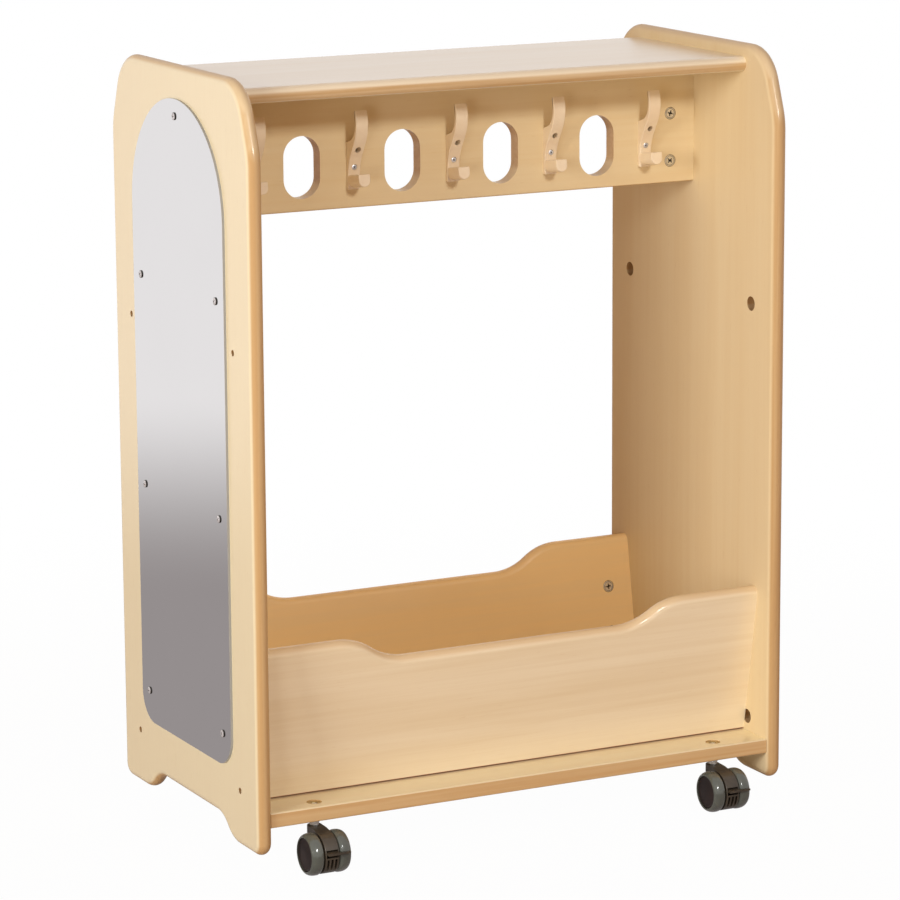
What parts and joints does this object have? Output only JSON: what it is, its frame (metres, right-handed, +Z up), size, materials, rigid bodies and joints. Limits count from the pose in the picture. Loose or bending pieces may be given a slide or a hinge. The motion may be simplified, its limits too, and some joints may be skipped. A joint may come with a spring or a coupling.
{
  "type": "dress up storage unit with mirror",
  "caption": "Rolling children's dress up unit: maple side panels, top shelf, rail of double sided hooks, clothes trough, base board, twin wheel casters and a side mirror.",
  "frame": {"origin": "on the floor, midway between the side panels and midway between their front and rear edges", "axes": "+X to the right seen from the front, across the unit; -Y to the front; +Z up"},
  "size_m": [0.7052, 0.4525, 0.9219],
  "materials": {
    "panel_maple": "clear satin lacquer on pale maple",
    "shelf_maple": "pale maple with a clear satin lacquer",
    "rail_maple": "clear satin lacquer on pale maple",
    "base_maple": "clear satin lacquer on pale maple",
    "trough_maple": "clear satin lacquer on pale maple",
    "mirror_sheet": "mirrored acrylic sheet",
    "hook_plastic": "ivory moulded plastic",
    "screw_steel": "zinc plated steel",
    "cam_zinc": "die cast zinc",
    "insert_brass": "turned brass",
    "dowel_beech": "plain beech",
    "stem_zinc": "zinc plated steel",
    "caster_plastic": "dark brown moulded nylon",
    "tread_grey": "glossy grey soft tread"
  },
  "bodies": {
    "frame": {"left_side_panel": "panel_maple", "right_side_panel": "panel_maple", "top_shelf": "shelf_maple", "hook_rail": "rail_maple", "base_board": "base_maple", "front_trough_board": "trough_maple", "rear_trough_board": "trough_maple", "mirror": "mirror_sheet", "mirror_screws": "screw_steel", "front_hook_1": "hook_plastic", "front_hook_2": "hook_plastic", "front_hook_3": "hook_plastic", "front_hook_4": "hook_plastic", "front_hook_5": "hook_plastic", "rear_hook_1": "hook_plastic", "rear_hook_2": "hook_plastic", "rear_hook_3": "hook_plastic", "rear_hook_4": "hook_plastic", "rear_hook_5": "hook_plastic", "hook_screws": "screw_steel", "cam_locks": "cam_zinc", "cam_bolts": "screw_steel", "dowels": "dowel_beech", "caster_inserts": "insert_brass", "front_left_stem": "stem_zinc", "front_right_stem": "stem_zinc", "rear_left_stem": "stem_zinc", "rear_right_stem": "stem_zinc"},
    "front_left_caster": {"front_left_housing": "caster_plastic", "front_left_axle": "screw_steel"},
    "front_left_wheel_1": {"front_left_hub_1": "caster_plastic", "front_left_tread_1": "tread_grey"},
    "front_left_wheel_2": {"front_left_hub_2": "caster_plastic", "front_left_tread_2": "tread_grey"},
    "front_left_brake_lever": {"front_left_brake": "caster_plastic"},
    "front_right_caster": {"front_right_housing": "caster_plastic", "front_right_axle": "screw_steel"},
    "front_right_wheel_1": {"front_right_hub_1": "caster_plastic", "front_right_tread_1": "tread_grey"},
    "front_right_wheel_2": {"front_right_hub_2": "caster_plastic", "front_right_tread_2": "tread_grey"},
    "front_right_brake_lever": {"front_right_brake": "caster_plastic"},
    "rear_left_caster": {"rear_left_housing": "caster_plastic", "rear_left_axle": "screw_steel"},
    "rear_left_wheel_1": {"rear_left_hub_1": "caster_plastic", "rear_left_tread_1": "tread_grey"},
    "rear_left_wheel_2": {"rear_left_hub_2": "caster_plastic", "rear_left_tread_2": "tread_grey"},
    "rear_right_caster": {"rear_right_housing": "caster_plastic", "rear_right_axle": "screw_steel"},
    "rear_right_wheel_1": {"rear_right_hub_1": "caster_plastic", "rear_right_tread_1": "tread_grey"},
    "rear_right_wheel_2": {"rear_right_hub_2": "caster_plastic", "rear_right_tread_2": "tread_grey"}
  },
  "joints": [
    {"name": "front_left_swivel", "type": "hinge", "parent": "frame", "child": "front_left_caster", "pos_m": [-0.268, -0.174, 0.045], "axis": [0, 0, 1], "continuous": true},
    {"name": "front_left_wheel_spin_1", "type": "hinge", "parent": "front_left_caster", "child": "front_left_wheel_1", "pos_m": [-0.268, -0.199, 0.025], "axis": [1, 0, 0], "continuous": true},
    {"name": "front_left_wheel_spin_2", "type": "hinge", "parent": "front_left_caster", "child": "front_left_wheel_2", "pos_m": [-0.268, -0.199, 0.025], "axis": [1, 0, 0], "continuous": true},
    {"name": "front_left_brake_press", "type": "hinge", "parent": "front_left_caster", "child": "front_left_brake_lever", "pos_m": [-0.268, -0.215, 0.03], "axis": [1, 0, 0], "range_deg": [0, 16]},
    {"name": "front_right_swivel", "type": "hinge", "parent": "frame", "child": "front_right_caster", "pos_m": [0.268, -0.174, 0.045], "axis": [0, 0, 1], "continuous": true},
    {"name": "front_right_wheel_spin_1", "type": "hinge", "parent": "front_right_caster", "child": "front_right_wheel_1", "pos_m": [0.268, -0.199, 0.025], "axis": [1, 0, 0], "continuous": true},
    {"name": "front_right_wheel_spin_2", "type": "hinge", "parent": "front_right_caster", "child": "front_right_wheel_2", "pos_m": [0.268, -0.199, 0.025], "axis": [1, 0, 0], "continuous": true},
    {"name": "front_right_brake_press", "type": "hinge", "parent": "front_right_caster", "child": "front_right_brake_lever", "pos_m": [0.268, -0.215, 0.03], "axis": [1, 0, 0], "range_deg": [0, 16]},
    {"name": "rear_left_swivel", "type": "hinge", "parent": "frame", "child": "rear_left_caster", "pos_m": [-0.268, 0.174, 0.045], "axis": [0, 0, 1], "continuous": true},
    {"name": "rear_left_wheel_spin_1", "type": "hinge", "parent": "rear_left_caster", "child": "rear_left_wheel_1", "pos_m": [-0.243, 0.174, 0.025], "axis": [0, 1, 0], "continuous": true},
    {"name": "rear_left_wheel_spin_2", "type": "hinge", "parent": "rear_left_caster", "child": "rear_left_wheel_2", "pos_m": [-0.243, 0.174, 0.025], "axis": [0, 1, 0], "continuous": true},
    {"name": "rear_right_swivel", "type": "hinge", "parent": "frame", "child": "rear_right_caster", "pos_m": [0.268, 0.174, 0.045], "axis": [0, 0, 1], "continuous": true},
    {"name": "rear_right_wheel_spin_1", "type": "hinge", "parent": "rear_right_caster", "child": "rear_right_wheel_1", "pos_m": [0.268, 0.199, 0.025], "axis": [1, 0, 0], "continuous": true},
    {"name": "rear_right_wheel_spin_2", "type": "hinge", "parent": "rear_right_caster", "child": "rear_right_wheel_2", "pos_m": [0.268, 0.199, 0.025], "axis": [1, 0, 0], "continuous": true}
  ]
}
